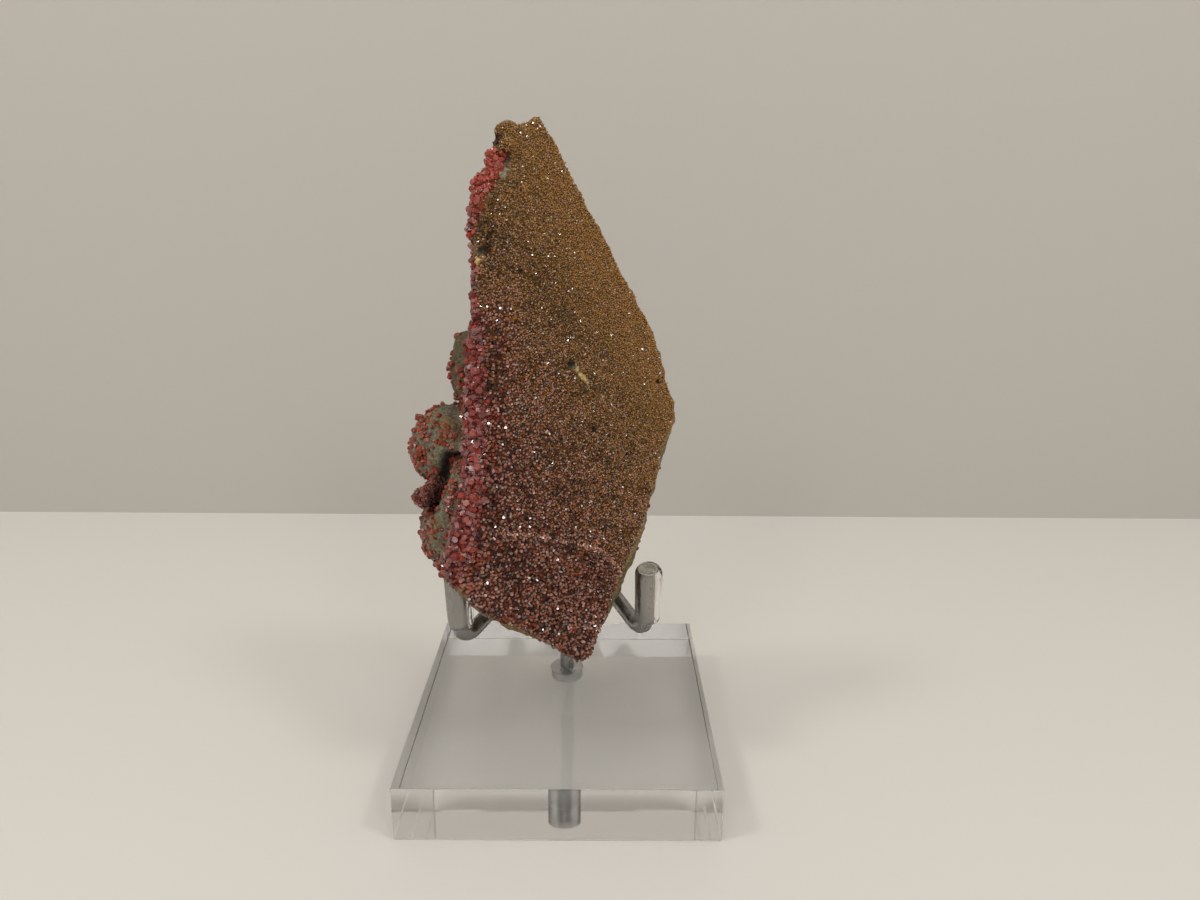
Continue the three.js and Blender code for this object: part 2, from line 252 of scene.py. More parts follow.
def cell_noise(points, size, shift):
    """One random level from -1 to 1 for each cell of that size."""
    levels = []
    for p in points / size + shift:
        centre = noise.voronoi(Vector(p))[1][0]
        levels.append(noise.cell(centre * 7.3))
    return np.array(levels)


def behind_face(points):
    """How far points lie behind the plane of the front face."""
    return points[:, 1] - (FACE_Y + FACE_TURN * points[:, 0] + FACE_LEAN * points[:, 2])


def towards_red(points):
    """Distance on the face from the border of the golden druse towards the red corner."""
    across = (points[:, 0] - DRUSE_BORDER[0]) * DRUSE_TOWARDS_RED[0]
    return across + (points[:, 2] - DRUSE_BORDER[1]) * DRUSE_TOWARDS_RED[1]


def on_line(line, values):
    """The second column of a line's points, where the first has those values."""
    return np.interp(values, line[:, 0], line[:, 1])


def below_ledge(points):
    """Height of the ledge over each point."""
    return on_line(LEDGE_LINE, points[:, 0]) - points[:, 2]


def beyond_ridge(points):
    """How far to the right of the ridge line each point lies."""
    return points[:, 0] - on_line(RIDGE_LINE, points[:, 2])


def distance_to_line(points, line):
    """Distance from each point to the nearest part of a line of straight pieces."""
    nearest = np.full(len(points), np.inf)
    for start, end in zip(line[:-1], line[1:]):
        along = end - start
        share = np.clip((points - start) @ along / (along @ along), 0.0, 1.0)
        nearest = np.minimum(nearest, np.linalg.norm(points - start - share[:, None] * along, axis=1))
    return nearest


def in_cleft(points):
    """1 in the bottom of the cleft between the lobes, fading out beside it. Sets how deep the cleft is cut
    and how much painted shade it gets.
    """
    flat_distance = distance_to_line(points[:, [0, 2]], CLEFT_LINE)
    width = 0.5 + 0.35 * smooth_step(-15.5, -17.5, points[:, 0])
    return bell(flat_distance, width) * smooth_step(-4.0, -7.0, points[:, 1])


def spot_share(points, spots):
    """How much each point lies in one of the ragged spots: 1 in their middles and 0 outside."""
    ragged = 1.0 + 0.5 * fractal(points, 0.9, 2, 3.3)
    share = np.zeros(len(points))
    for x, height, radius in spots:
        distance = np.hypot(points[:, 0] - x, points[:, 2] - height) * ragged
        share = np.maximum(share, bell(distance, radius))
    return share


def beside_ridge(points):
    """1 at the ridge, fading out to the right of it over the face, and none of it near the top."""
    share = 1.0 - smooth_step(1.5, 7.0, beyond_ridge(points) + 1.2 * fractal(points, 1.5, 2, 7.7))
    return share * (1.0 - smooth_step(76.0, 84.0, points[:, 2]))


def on_lower_lobes(points):
    """1 on the two lower lobes of the left flank."""
    return smooth_step(-8.0, -11.0, points[:, 0]) * smooth_step(62.0, 58.0, points[:, 2])


def on_upper_lobe(points):
    """1 on the small upper lobe of the left flank."""
    share = smooth_step(62.0, 65.0, points[:, 2]) * (1.0 - smooth_step(76.0, 79.0, points[:, 2]))
    return share * smooth_step(-9.0, -11.0, points[:, 0])


def node_input(node, **values):
    """Sets sockets by their names, written with _ for each space."""
    for name, value in values.items():
        node.inputs[name.replace("_", " ")].default_value = value


def new_material(name):
    material = bpy.data.materials.new(name)
    material.use_nodes = True
    tree = material.node_tree
    return material, tree, tree.nodes["Principled BSDF"]


def add_node(tree, kind, **values):
    node = tree.nodes.new(kind)
    node_input(node, **values)
    return node


def noise_texture(tree, scale, detail, stretch=(1.0, 1.0, 1.0)):
    """Noise in object space with a scale in features per metre."""
    place = tree.nodes.new("ShaderNodeTexCoord")
    mapping = add_node(tree, "ShaderNodeMapping", Scale=stretch)
    texture = add_node(tree, "ShaderNodeTexNoise", Scale=scale, Detail=detail)
    tree.links.new(place.outputs["Object"], mapping.inputs["Vector"])
    tree.links.new(mapping.outputs["Vector"], texture.inputs["Vector"])
    return texture.outputs["Fac"]


def ranged(tree, value, low, high, from_low=0.0, from_high=1.0):
    node = add_node(tree, "ShaderNodeMapRange", From_Min=from_low, From_Max=from_high)
    node_input(node, To_Min=low, To_Max=high)
    tree.links.new(value, node.inputs["Value"])
    return node.outputs["Result"]


def bumped(tree, shader, height, distance, strength=1.0):
    bump = add_node(tree, "ShaderNodeBump", Strength=strength, Distance=distance)
    tree.links.new(height, bump.inputs["Height"])
    tree.links.new(bump.outputs["Normal"], shader.inputs["Normal"])


def tinted(tree, shader, factor):
    """The mesh's own tint times a factor, as the base colour. Returns how glossy the mesh is, from 0 to 1."""
    tint = tree.nodes.new("ShaderNodeAttribute")
    tint.attribute_name = "tint"
    scale = tree.nodes.new("ShaderNodeVectorMath")
    scale.operation = "SCALE"
    tree.links.new(tint.outputs["Color"], scale.inputs[0])
    tree.links.new(factor, scale.inputs["Scale"])
    tree.links.new(scale.outputs["Vector"], shader.inputs["Base Color"])
    return tint.outputs["Alpha"]


def mixed(tree, share, low, high):
    """Goes from one texture to another as a value goes from 0 to 1."""
    node = tree.nodes.new("ShaderNodeMix")
    tree.links.new(share, node.inputs["Factor"])
    tree.links.new(low, node.inputs["A"])
    tree.links.new(high, node.inputs["B"])
    return node.outputs["Result"]


def stone_material():
    material, tree, shader = new_material("matrix_stone")
    speckle = noise_texture(tree, 2600.0, 6.0)
    tinted(tree, shader, ranged(tree, speckle, 0.45, 1.6, 0.3, 0.7))
    tree.links.new(ranged(tree, speckle, 0.95, 0.6, 0.3, 0.7), shader.inputs["Roughness"])
    bumped(tree, shader, noise_texture(tree, 2400.0, 8.0, (1.0, 1.0, 0.5)), 0.0003)
    return material


def grained(name, growth_scale, detail, shades, dull, bright, highest_ior):
    """Grains with a tint and a gloss each, mottled by growth. Dull and bright are limits of roughness."""
    material, tree, shader = new_material(name)
    growth = noise_texture(tree, growth_scale, detail)
    gloss = tinted(tree, shader, ranged(tree, growth, *shades, 0.3, 0.7))
    roughness = [ranged(tree, growth, *limits, 0.35, 0.65) for limits in (dull, bright)]
    tree.links.new(mixed(tree, gloss, *roughness), shader.inputs["Roughness"])
    tree.links.new(ranged(tree, gloss, 1.35, highest_ior), shader.inputs["IOR"])
    return material, shader


def druse_material():
    return grained("vanadinite_druse", 4200.0, 3.0, (0.6, 1.35), (0.45, 0.7), (0.05, 0.16), 2.05)[0]


def crystal_material():
    material, shader = grained("vanadinite_red", 1900.0, 4.0, (0.65, 1.3), (0.3, 0.5), (0.06, 0.22), 1.85)
    node_input(shader, Subsurface_Weight=0.3, Subsurface_Scale=0.0005)
    node_input(shader, Subsurface_Radius=(1.0, 0.16, 0.1))
    return material


def steel_material():
    material, tree, shader = new_material("drawn_steel")
    node_input(shader, Base_Color=(0.31, 0.30, 0.285, 1.0), Metallic=1.0)
    grain = noise_texture(tree, 900.0, 5.0, (1.0, 1.0, 0.12))
    tree.links.new(ranged(tree, grain, 0.16, 0.42, 0.3, 0.7), shader.inputs["Roughness"])
    bumped(tree, shader, noise_texture(tree, 5200.0, 4.0, (1.0, 1.0, 0.08)), 0.00001)
    return material


def cut_steel_material():
    """The matt face of a sawn wire end."""
    material, tree, shader = new_material("cut_steel")
    node_input(shader, Base_Color=(0.68, 0.64, 0.56, 1.0), Metallic=1.0)
    grain = noise_texture(tree, 3000.0, 4.0)
    tree.links.new(ranged(tree, grain, 0.4, 0.6, 0.3, 0.7), shader.inputs["Roughness"])
    return material


def acrylic_material():
    material, tree, shader = new_material("clear_acrylic")
    node_input(shader, Base_Color=(1.0, 1.0, 1.0, 1.0), Transmission_Weight=1.0, IOR=1.49)
    wear = noise_texture(tree, 240.0, 6.0)
    tree.links.new(ranged(tree, wear, 0.03, 0.08, 0.4, 0.8), shader.inputs["Roughness"])
    return material


def cement_material():
    """Clear cement, hazy with small bubbles."""
    material, tree, shader = new_material("hazy_cement")
    node_input(shader, Base_Color=(0.95, 0.95, 0.94, 1.0), Transmission_Weight=1.0, IOR=1.49)
    haze = noise_texture(tree, 1500.0, 5.0)
    tree.links.new(ranged(tree, haze, 0.25, 0.55, 0.3, 0.7), shader.inputs["Roughness"])
    bumped(tree, shader, haze, 0.00005)
    return material


def vinyl_material():
    material, tree, shader = new_material("clear_vinyl")
    node_input(shader, Base_Color=(0.96, 0.95, 0.93, 1.0), Transmission_Weight=1.0, IOR=1.52)
    wear = noise_texture(tree, 700.0, 4.0)
    tree.links.new(ranged(tree, wear, 0.0, 0.12, 0.5, 0.8), shader.inputs["Roughness"])
    bumped(tree, shader, noise_texture(tree, 520.0, 3.0, (1.0, 1.0, 0.3)), 0.00006)
    return material


def table_material():
    material, _, shader = new_material("table")
    node_input(shader, Base_Color=(0.70, 0.675, 0.63, 1.0), Roughness=0.55)
    return material


def wall_material():
    """The wall, which can't be seen from behind."""
    material, tree, shader = new_material("wall")
    node_input(shader, Base_Color=(0.56, 0.53, 0.487, 1.0), Roughness=0.7)
    see_past = tree.nodes.new("ShaderNodeBsdfTransparent")
    side = tree.nodes.new("ShaderNodeNewGeometry")
    choose = tree.nodes.new("ShaderNodeMixShader")
    tree.links.new(side.outputs["Backfacing"], choose.inputs["Fac"])
    tree.links.new(shader.outputs["BSDF"], choose.inputs[1])
    tree.links.new(see_past.outputs["BSDF"], choose.inputs[2])
    tree.links.new(choose.outputs["Shader"], tree.nodes["Material Output"].inputs["Surface"])
    return material


def new_object(name, data):
    item = bpy.data.objects.new(name, data)
    bpy.context.scene.collection.objects.link(item)
    return item


def link_mesh(name, mesh, material=None):
    mesh.materials.clear()
    if material:
        mesh.materials.append(material)
    return new_object(name, mesh)


def mesh_from(name, points, faces):
    mesh = bpy.data.meshes.new(name)
    mesh.from_pydata((np.asarray(points) * MM).tolist(), [], faces)
    mesh.update()
    return mesh


def vertex_places(mesh):
    places = np.zeros(len(mesh.vertices) * 3)
    mesh.vertices.foreach_get("co", places)
    return places.reshape(-1, 3) / MM


def vertex_normals(mesh):
    normals = np.zeros(len(mesh.vertices) * 3)
    mesh.vertex_normals.foreach_get("vector", normals)
    return normals.reshape(-1, 3)


def set_places(mesh, places):
    mesh.vertices.foreach_set("co", (places * MM).ravel())
    mesh.update()


def smoothed(mesh, angle):
    """The mesh in smooth shading, with the edges over that angle left sharp."""
    mesh.shade_smooth()
    mesh.set_sharp_from_angle(angle=math.radians(angle))
    return mesh


def set_tint(mesh, colours, gloss=0.0):
    """Colour of each corner point, and how glossy it is."""
    rgba = np.ones((len(colours), 4))
    rgba[:, :3] = np.clip(colours, 0.0, 1.0)
    rgba[:, 3] = gloss
    attribute = mesh.color_attributes.new("tint", "FLOAT_COLOR", "POINT")
    attribute.data.foreach_set("color", rgba.ravel())


def applied(piece):
    """The piece's mesh with its modifiers applied."""
    graph = bpy.context.evaluated_depsgraph_get()
    return bpy.data.meshes.new_from_object(piece.evaluated_get(graph))


def remeshed(meshes, name, voxel, smoothing):
    """Copies of the meshes, grown together into one in even small faces."""
    piece = joined_mesh(name, [mesh.copy() for mesh in meshes])
    remesh = piece.modifiers.new("Remesh", "REMESH")
    remesh.mode = "VOXEL"
    remesh.voxel_size = voxel * MM
    soften = piece.modifiers.new("Smooth", "SMOOTH")
    soften.iterations = smoothing
    mesh = applied(piece)
    bpy.data.objects.remove(piece)
    mesh.name = name
    return mesh


def front_share(points, normals):
    """1 on the front face inside its bare rims, and 0 on the rims, the flanks and the back."""
    share = smooth_step(0.72, 0.88, normals @ FACE_NORMAL)
    share *= 1.0 - smooth_step(1.5, 3.0, behind_face(points))
    share *= smooth_step(-0.2, 0.3, on_line(RIGHT_RIM, points[:, 2]) - points[:, 0])
    return share * smooth_step(-0.3, 0.4, points[:, 2] - on_line(LOWER_RIM, points[:, 0]))


def chipped(points, normals):
    """Flat chips struck off the back and the flanks, as on broken rock. Face and lobes stay whole."""
    room = smooth_step(2.0, 4.0, behind_face(points))
    room *= np.maximum(smooth_step(-9.5, -6.0, points[:, 0]), smooth_step(74.0, 80.0, points[:, 2]))
    away = np.flatnonzero(room > 0.5)
    for start in rng.choice(away, CHIPS):
        middle = points[start]
        direction = unit(normals[start] + rng.normal(size=3) * 0.2)
        radius = rng.uniform(3.0, 8.0)
        near = 1.0 - smooth_step(0.8, 1.0, np.linalg.norm(points - middle, axis=1) / radius)
        above = (points - middle) @ direction + rng.uniform(0.0, 0.35)
        points = points - np.outer(np.maximum(above, 0.0) * near * room, direction)
    return points


def blunted(points):
    """The middle lobe's front side pressed nearly flat."""
    facing = unit(BLUNT_FACING)
    away = points - BLUNT_CENTRE
    proud = np.maximum(away @ facing - BLUNT_REACH, 0.0)
    near = 1.0 - smooth_step(7.6, 8.6, np.linalg.norm(away, axis=1))
    return points - np.outer(0.8 * proud * near, facing)


def ridge_swelling():
    """A long body under the ridge, which stands a little proud of the face."""
    heights = np.linspace(RIDGE_SWELL[0, 0], RIDGE_SWELL[-1, 0], 60)
    radii = on_line(RIDGE_SWELL, heights)
    path = ridge_path(heights)
    path[:, 0] += 0.5 * radii - 0.5
    path[:, 1] += radii - RIDGE_PROUD
    return swept("swelling", path, radii, 16)


def swelling(line, radii):
    """A worm-like body along a line, to melt into the stone."""
    steps = np.arange(len(line))
    shares = np.linspace(0.0, len(line) - 1.0, 24)
    path = np.stack([np.interp(shares, steps, line[:, axis]) for axis in range(3)], axis=-1)
    return swept("swelling", path, np.interp(shares, steps, np.broadcast_to(radii, len(line))), 16)


def melted_stone():
    """The stone grown together with the swellings under its crusts and beside its ridge."""
    swellings = [
        ridge_swelling(),
        swelling(SEAM_LINE, SEAM_SWELL),
        swelling(LOBE_SHOULDER[:, :3], LOBE_SHOULDER[:, 3]),
    ]
    return remeshed([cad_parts["matrix"].data, *swellings], "stone", STONE_FACE, 2)


def broken_top(points):
    """The top raised to a small peak and cut off along its broken edge."""
    raised = bell(points[:, 0] - PEAK_X, 0.8) * smooth_step(103.5, 105.2, points[:, 2])
    heights = points[:, 2] + raised * PEAK_RISE
    return np.column_stack([points[:, :2], np.minimum(heights, on_line(TOP_LINE, points[:, 0]))])


def relief(points, front):
    """How far each point moves out: rough rock with slanting fibres, and a wavy face with ledge and pits."""
    rough = 0.42 * fractal(points, 3.6, 5, 3.1) + 0.14 * cell_noise(points, 2.6, 1.7)
    slanted = points * np.array([1.0, 1.0, 0.35]) + points[:, 2:] * np.array([-0.5, 0.3, 0.0])
    fibres = 0.16 * fractal(slanted, 0.9, 3, 6.0)
    wavy = 0.26 * fractal(points, 8.0, 3, 8.4) + 0.10 * fractal(points, 2.0, 3, 2.4)
    lift = (1.0 - front) * (rough + fibres - 0.1) + front * wavy
    lift -= CLEFT_DEPTH * in_cleft(points)
    lift += front * LEDGE_STEP * smooth_step(-0.2, 0.25, below_ledge(points))
    lift -= (behind_face(points) < 2.5) * PIT_DEPTH * spot_share(points, FACE_PITS + NOTCH_PITS)
    return lift


def sculpted_stone():
    """The stone, and how much each of its points belongs to the front face."""
    mesh = melted_stone()
    points = broken_top(chipped(blunted(vertex_places(mesh)), vertex_normals(mesh)))
    set_places(mesh, points)
    normals = vertex_normals(mesh)
    front = front_share(points, normals)
    points = points + normals * relief(points, front)[:, None]
    set_places(mesh, points)
    set_tint(mesh, stone_tint(points, front))
    mesh.shade_smooth()
    return mesh, front


def face_tones(points):
    """Slow changes of tone over the face, drawn out from the upper left to the lower right."""
    x, y, z = points.T
    slanted = np.stack([x * 0.35 + z * 0.25, y, z + x * 0.6], -1)
    return fractal(slanted, 3.0, 4, 5.5) + 0.6 * fractal(slanted, 0.9, 2, 1.5)


def flank_tint(points):
    """Grey green to olive rock with rusty and dark patches, an olive rim around the face and painted shade in
    the cleft.
    """
    patchy = fractal(points, 4.5, 4, 5.0)
    on_lobes = on_lower_lobes(points)
    colours = mix(GREY_GREEN, OLIVE, smooth_step(-0.1, 0.5, patchy))
    rusty = smooth_step(0.15, 0.6, fractal(points, 7.0, 3, 9.0)) * (1.0 - on_lobes)
    colours = mix(colours, GOLD_BROWN * 0.6, rusty * 0.7)
    colours = mix(colours, DARK_PATCH_AND_SHADE, 0.45 * smooth_step(0.2, 0.7, -patchy))
    colours = mix(colours, OLIVE * 0.42, on_upper_lobe(points) * 0.85)
    rim = (1.0 - smooth_step(1.5, 4.0, behind_face(points))) * (1.0 - 0.85 * on_lobes)
    colours = mix(colours, OLIVE * 1.05, rim * 0.85)
    # Painted shade in the cleft
    return mix(colours, DARK_PATCH_AND_SHADE * 0.5, np.minimum(1.6 * in_cleft(points), 1.0))


def stone_tint(points, front):
    """Rock on the flanks, and on the face the ground under the druse, its brown darkened as painted shade
    between the grains, with painted shade in its pits and hollows and its coloured bare spots.
    """
    red = smooth_step(-4.0, 22.0, towards_red(points))
    # The ground is the stone's brown darkened: painted shade between the grains
    face = mix(GOLD_BROWN * 0.32, RED_BROWN * 0.28, red)
    colours = mix(flank_tint(points), face, front)
    near = 1.0 - smooth_step(1.5, 3.0, behind_face(points))
    # Painted shade in the pits of the face and in the hollows at the notch
    colours = mix(colours, BLUE_BLACK, near * spot_share(points, FACE_PITS))
    colours = mix(colours, CRYSTAL_DARK * 0.4, near * spot_share(points, NOTCH_PITS))
    colours = mix(colours, PALE_YELLOW, near * spot_share(points, PALE_PATCHES))
    return mix(colours, GREY_GREEN * 1.8, near * spot_share(points, GREEN_PATCHES))


class Surface:
    """Triangles of a mesh, to scatter crystals on, with how much each belongs to the front face."""

    def __init__(self, mesh, share=None):
        mesh.calc_loop_triangles()
        index = np.zeros(len(mesh.loop_triangles) * 3, np.int32)
        mesh.loop_triangles.foreach_get("vertices", index)
        index = index.reshape(-1, 3)
        self.corners = vertex_places(mesh)[index]
        self.front = share[index].mean(axis=1) if share is not None else 0.0
        cross = np.cross(self.corners[:, 1] - self.corners[:, 0], self.corners[:, 2] - self.corners[:, 0])
        self.area = np.linalg.norm(cross, axis=1) / 2.0
        self.normals = cross / np.maximum(2.0 * self.area, 1e-9)[:, None]
        self.centres = self.corners.mean(axis=1)

    def scatter(self, weight, count):
        """Random places, and the surface's direction there, more of them where the weight is larger."""
        chance = self.area * weight
        picked = rng.choice(len(chance), size=count, p=chance / chance.sum())
        a, b = rng.uniform(size=(2, count))
        over = a + b > 1.0
        a[over], b[over] = 1.0 - a[over], 1.0 - b[over]
        p, q, r = np.moveaxis(self.corners[picked], 1, 0)
        places = p + (q - p) * a[:, None] + (r - p) * b[:, None]
        return places, self.normals[picked]


def thinned(places, normals, size, share):
    """The places that lie clear of earlier ones by that share of their size, with normals and sizes."""
    spacing = size * share
    cell = spacing.max()
    grid = {}
    kept = []
    for i, (place, gap) in enumerate(zip(places, spacing)):
        key = tuple((place // cell).astype(int))
        near = [
            j
            for dx in (-1, 0, 1) for dy in (-1, 0, 1) for dz in (-1, 0, 1)
            for j in grid.get((key[0] + dx, key[1] + dy, key[2] + dz), ())
        ]
        if near and ((places[near] - place) ** 2).sum(axis=1).min() < gap * gap:
            continue
        grid.setdefault(key, []).append(i)
        kept.append(i)
    return places[kept], normals[kept], size[kept]


def band_faces(rings, sides, first=0):
    """Faces between rings of corners, numbered from the first one on."""
    return [
        [low + k, low + (k + 1) % sides, low + sides + (k + 1) % sides, low + sides + k]
        for low in range(first, first + (rings - 1) * sides, sides) for k in range(sides)
    ]


def prism_faces(rings, sides):
    """Faces between rings of corners, with a flat face at both ends."""
    last = (rings - 1) * sides
    return [list(range(sides))[::-1], *band_faces(rings, sides), list(range(last, last + sides))]


def hexagonal_crystal(bevelled):
    """Corners and faces of a six-sided prism of radius 1 from -1 to 1, with or without bevelled rims."""
    levels = [(0.84, -1.0), (1.0, -0.72), (1.0, 0.72), (0.84, 1.0)] if bevelled else [(1.0, -1.0), (1.0, 1.0)]
    corners = [
        (radius * math.cos(k * math.pi / 3.0), radius * math.sin(k * math.pi / 3.0), height)
        for radius, height in levels for k in range(6)
    ]
    return np.array(corners), prism_faces(len(levels), 6)


def crystals(name, centres, axes, radii, halves, tints, gloss, bevelled=False):
    """Many crystals as one mesh. Each has a centre, an axis, a radius, half a length, a tint and a gloss."""
    pattern, faces = hexagonal_crystal(bevelled)
    count = len(centres)
    helper = np.where(np.abs(axes[:, 2:3]) < 0.9, [[0.0, 0.0, 1.0]], [[1.0, 0.0, 0.0]])
    side = unit(np.cross(helper, axes))
    other = np.cross(axes, side)
    spin = rng.uniform(0.0, math.pi / 3.0, count)[:, None]
    side, other = side * np.cos(spin) + other * np.sin(spin), other * np.cos(spin) - side * np.sin(spin)
    squeeze = rng.uniform(0.78, 1.0, count)
    points = centres[:, None, :] + (
        side[:, None, :] * (pattern[None, :, 0:1] * radii[:, None, None])
        + other[:, None, :] * (pattern[None, :, 1:2] * (radii * squeeze)[:, None, None])
        + axes[:, None, :] * (pattern[None, :, 2:3] * halves[:, None, None])
    )
    loops = np.concatenate([np.array(face) for face in faces])
    sizes = np.array([len(face) for face in faces])
    starts = np.concatenate([[0], np.cumsum(sizes)[:-1]])
    step = np.arange(count)[:, None]
    mesh = bpy.data.meshes.new(name)
    mesh.vertices.add(count * len(pattern))
    mesh.loops.add(count * len(loops))
    mesh.polygons.add(count * len(faces))
    mesh.vertices.foreach_set("co", (points * MM).ravel())
    mesh.loops.foreach_set("vertex_index", (loops + step * len(pattern)).ravel())
    mesh.polygons.foreach_set("loop_start", (starts + step * len(loops)).ravel())
    mesh.update(calc_edges=True)
    set_tint(mesh, np.repeat(tints, len(pattern), axis=0), np.repeat(gloss, len(pattern)))
    mesh.shade_flat()
    return mesh


def joined_mesh(name, meshes, material=None):
    """Several meshes as one piece."""
    pieces = [link_mesh(name, mesh, material) for mesh in meshes]
    with bpy.context.temp_override(active_object=pieces[0], selected_editable_objects=pieces):
        bpy.ops.object.join()
    return pieces[0]


def tilted(normals, spread):
    """Directions around the normals, up to about that spread away."""
    return unit(normals + rng.normal(size=normals.shape) * spread)


def with_painted_ledge_light_and_shade(points, colours):
    """A painted highlight along the ledge as a pale line, and painted shade under it as a dark one."""
    below = below_ledge(points)
    along = smooth_step(-10.5, -8.0, points[:, 0]) * (1.0 - smooth_step(9.0, 10.5, points[:, 0]))
    colours = mix(colours, TAN_PINK * 1.5, 0.85 * along * bell(below, 0.33))
    return mix(colours, DARK_PATCH_AND_SHADE, 0.5 * along * bell(below - 0.85, 0.4))


def druse_level(points):
    """How bright the druse is: lighter at the upper right, with slow changes and a dark streak."""
    border = towards_red(points)
    level = 1.0 + 0.25 * (1.0 - smooth_step(-10.0, -5.0, border))
    level += 0.45 * face_tones(points) * smooth_step(-8.0, -1.0, border)
    return level - 0.33 * bell(distance_to_line(points[:, [0, 2]], STREAK_LINE), 2.2)


def druse_tints(points):
    """Golden brown to reddish brown, each grain a little different, with painted highlights on the brightest
    grains and along the ledge, and painted shade under the ledge.
    """
    count = len(points)
    border = towards_red(points)
    red = smooth_step(-9.0, 21.0, border + 3.5 * rng.normal(size=count))
    red = np.maximum(red, 0.95 * smooth_step(-0.2, 0.6, below_ledge(points)))
    colours = mix(GOLD_BROWN, RED_BROWN, red)
    # Some grains are tan pink, partly as painted highlights
    tan = rng.uniform(size=count) < 0.05 + 0.14 * red
    colours[tan] = TAN_PINK
    warm = rng.uniform(size=count) < 0.06 * red
    colours[warm] = TERRACOTTA * 0.75
    beside = beside_ridge(points)
    colours = mix(colours, CRYSTAL_RED, 0.75 * beside * rng.uniform(size=count))
    # Pink grains beside the ridge, partly a painted sheen
    pink = rng.uniform(size=count) < 0.16 * beside
    colours[pink] = CRYSTAL_PINK * 0.8
    # Painted highlight along the ledge and painted shade under it
    colours = with_painted_ledge_light_and_shade(points, colours)
    level = druse_level(points)
    spread = 0.17 + 0.45 * smooth_step(-12.0, 6.0, border)
    change = rng.normal(size=count)
    brightness = np.exp(np.where(change < 0.0, 1.6, 1.0) * change * spread) * level * 1.1
    colours *= np.minimum(brightness, 1.35)[:, None]
    # The brightest grains turn pale pink: painted highlights
    return mix(colours, TAN_PINK * 1.4, 0.5 * smooth_step(1.25, 2.8, brightness))


def druse_meshes(surface):
    """The crust of small crystals over the whole front face, fine at the top right and coarse at the left."""
    coarse = smooth_step(-6.0, 20.0, towards_red(surface.centres))
    places, normals = surface.scatter(surface.front * (1.0 - 0.6 * coarse), DRUSE_PLACES)
    size = 0.24 + 0.15 * smooth_step(-6.0, 20.0, towards_red(places))
    size = size + 0.07 * smooth_step(0.0, 1.0, below_ledge(places)) + 0.15 * beside_ridge(places)
    size *= rng.uniform(0.8, 1.25, len(places))
    free = spot_share(places, FACE_PITS + NOTCH_PITS + PALE_PATCHES + GREEN_PATCHES) < 0.45
    places, normals, size = thinned(places[free], normals[free], size[free], 0.86)
    axes = tilted(normals, rng.uniform(0.2, 0.9, len(size))[:, None])
    halves = size * rng.uniform(0.4, 0.85, len(size))
    centres = places + axes * (halves * rng.uniform(-0.1, 0.45, len(size)))[:, None]
    tints = druse_tints(places)
    glossy_share = 0.18 + 0.34 * smooth_step(-14.0, 8.0, towards_red(places))
    gloss = (rng.uniform(size=len(size)) < glossy_share).astype(float)
    meshes = {}
    ceiling = math.inf
    for name, floor in DRUSE_CUTS.items():
        part = (places[:, 2] <= ceiling) & (places[:, 2] > floor)
        values = [each[part] for each in (centres, axes, size * 0.5, halves, tints, gloss)]
        meshes[name] = crystals(name, *values)
        ceiling = floor
    return meshes


def ridge_path(heights):
    """The ridge line on the plane of the face, at those heights."""
    x = on_line(RIDGE_LINE, heights)
    y = FACE_Y + FACE_TURN * x + FACE_LEAN * heights
    return np.stack([x, y, heights], axis=-1)


def ridge_share(points):
    """How thickly the red crystals grow: along the left front edge, and between its strands only thinly."""
    height = points[:, 2]
    right = beyond_ridge(points)
    reach = on_line(RIDGE_REACH, height)
    share = 1.0 - smooth_step(reach - 1.0, reach + 0.3, right)
    share *= 1.0 - smooth_step(1.3, 2.6, behind_face(points))
    share *= smooth_step(40.5, 42.5, height) * (1.0 - smooth_step(100.0, 101.5, height))
    lower = 1.0 - smooth_step(55.0, 59.0, height)
    share *= smooth_step(-1.1, -0.5, right + 1.5 * (1.0 - lower))
    parted = bell(points[:, 0] - on_line(RIDGE_GROOVE, height), 0.45)
    parted *= 1.0 - smooth_step(52.0, 54.5, height)
    return share * (1.0 - 0.9 * parted)


def ridge_mesh(surface):
    """Larger crystals crowded along the left front edge."""
    places, normals = surface.scatter(ridge_share(surface.centres), RIDGE_PLACES)
    lower = 1.0 - smooth_step(72.0, 80.0, places[:, 2])
    near = 1.0 - smooth_step(0.5, 3.5, np.abs(beyond_ridge(places)))
    size = 0.45 + 0.45 * rng.uniform(size=len(places))
    large = (rng.uniform(size=len(places)) < 0.016 + 0.018 * near) & (places[:, 2] > 44.0)
    size[large] = rng.uniform(0.85, 1.15, large.sum()) + 0.2 * (lower * near)[large]
    order = np.argsort(-size)
    places, normals, size = thinned(places[order], normals[order], size[order], 0.62)
    axes = tilted(normals, 0.95)
    halves = size * rng.uniform(0.45, 0.7, len(size))
    gloss = (rng.uniform(size=len(size)) < 0.7).astype(float)
    lift = size * rng.uniform(-0.15, 0.2, len(size))
    centres = places + axes * (halves * 0.2)[:, None] + normals * lift[:, None]
    tints = mix(red_tints(len(size)), CRYSTAL_ROSE, 0.5 * smooth_step(0.9, 1.05, size))
    tints = mix(tints, CRYSTAL_ORANGE * 1.15, 0.6 * smooth_step(90.0, 95.0, places[:, 2]))
    return crystals("ridge", centres, axes, size * 0.45, halves, tints, gloss, True)


def red_tints(count):
    """Crimson to orange red, some of them pink, partly as a painted sheen, and some dark."""
    colours = mix(CRYSTAL_RED, CRYSTAL_ORANGE, rng.uniform(size=count) ** 2.0)
    pink = rng.uniform(size=count) < 0.36
    colours[pink] = mix(colours[pink], CRYSTAL_PINK, rng.uniform(0.3, 0.9, pink.sum()))
    dark = rng.uniform(size=count) < 0.26
    colours[dark] = CRYSTAL_DARK
    return colours * rng.uniform(0.5, 1.2, count)[:, None]


